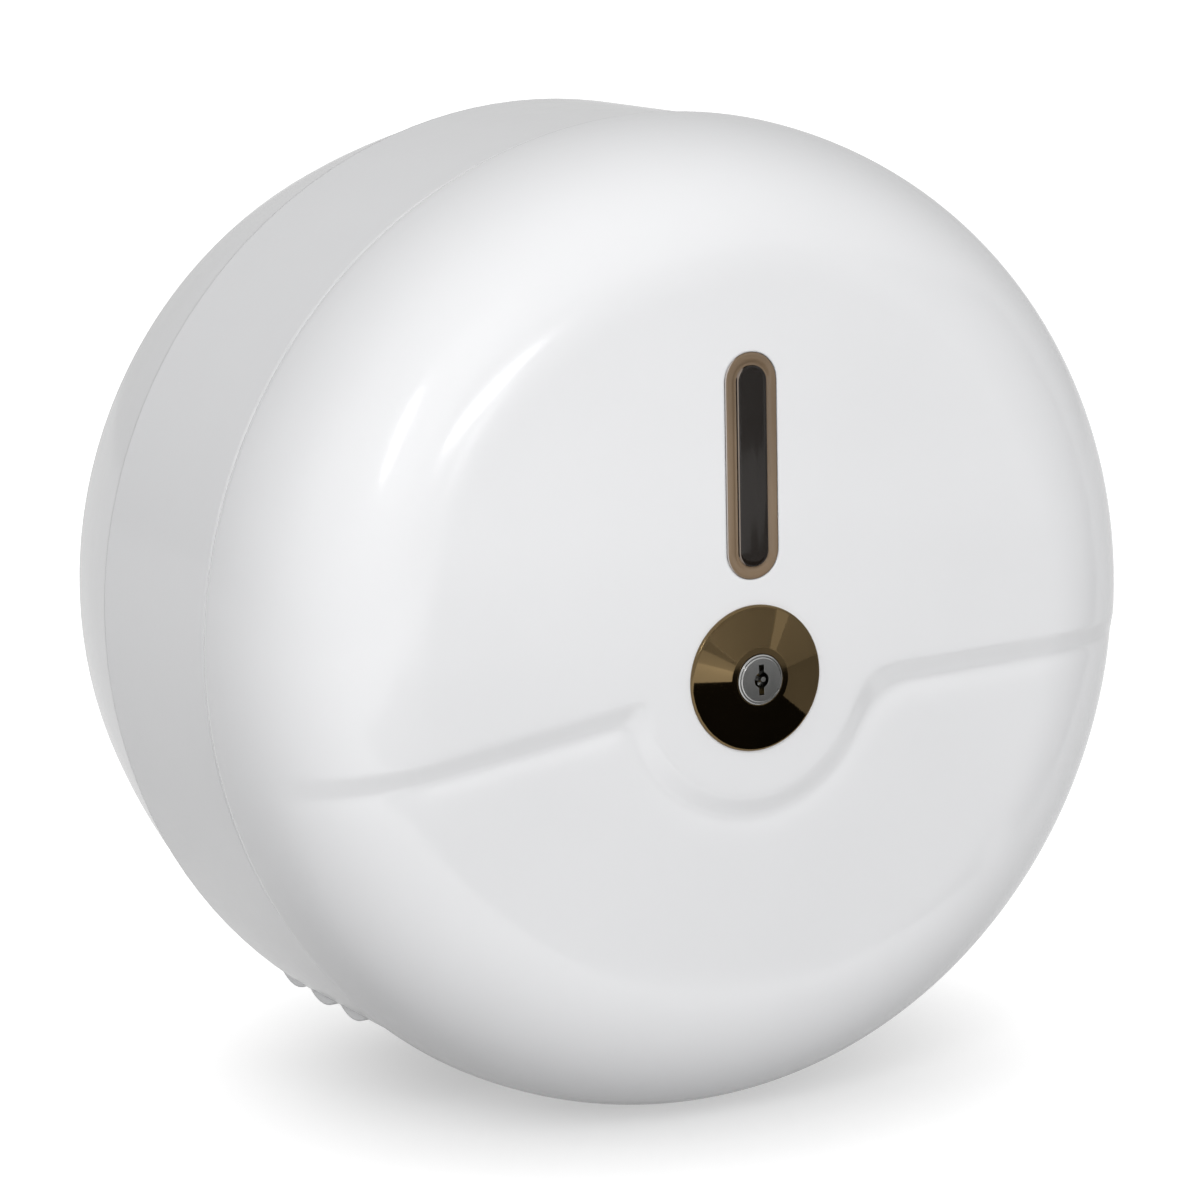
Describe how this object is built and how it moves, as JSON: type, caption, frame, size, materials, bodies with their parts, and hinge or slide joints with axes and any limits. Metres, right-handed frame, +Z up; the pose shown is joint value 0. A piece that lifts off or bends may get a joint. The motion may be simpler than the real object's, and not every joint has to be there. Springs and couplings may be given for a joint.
{
  "type": "wall-mounted roll dispenser",
  "caption": "Round wall-mounted dispenser for a jumbo roll: hinged domed cover with a sight window and a cam lock, over a drum with a turning roll hub and a bottom outlet.",
  "frame": {"origin": "centre of the flat back that lies against the wall, on the axis of the drum", "axes": "+Y into the wall, so the front faces -Y; +Z up; +X to the right seen from the front"},
  "size_m": [0.2528, 0.1517, 0.247],
  "materials": {
    "white_abs": "gloss, cool white",
    "grey_abs": "satin, light grey",
    "smoke_lens": "clear, smoke tinted",
    "bronze_plate": "polished dark bronze plate",
    "nickel_plate": "polished nickel plate",
    "zinc_steel": "bright zinc plated",
    "brass_wafer": "plain",
    "nylon": "natural nylon"
  },
  "bodies": {
    "base": {"base_pan": "white_abs", "outlet_frame": "white_abs", "spindle_post": "grey_abs", "post_screws": "zinc_steel", "lock_catch": "zinc_steel", "catch_screws": "zinc_steel", "retaining_ring": "zinc_steel", "hub_washer": "nylon", "hinge_pin": "zinc_steel"},
    "cover": {"cover_shell": "white_abs", "window_lens": "smoke_lens", "window_clip": "grey_abs", "lock_rosette": "bronze_plate", "lock_body": "nickel_plate", "lock_washer": "zinc_steel", "lock_nut": "zinc_steel"},
    "lock": {"lock_plug": "nickel_plate", "key_guide_pin": "nickel_plate", "lock_wafers": "brass_wafer", "lock_cam": "zinc_steel", "cam_washer": "zinc_steel", "cam_screw": "zinc_steel"},
    "hub": {"roll_hub": "white_abs"}
  },
  "joints": [
    {"name": "cover_hinge", "type": "hinge", "parent": "base", "child": "cover", "pos_m": [0.1263, -0.101, -0.005], "axis": [0, 0, 1], "range_deg": [0, 110]},
    {"name": "lock_turn", "type": "hinge", "parent": "cover", "child": "lock", "pos_m": [0, -0.13, -0.009], "axis": [0, 1, 0], "range_deg": [0, 90]},
    {"name": "hub_spin", "type": "hinge", "parent": "base", "child": "hub", "pos_m": [0, -0.06, -0.009], "axis": [0, 1, 0], "continuous": true}
  ]
}
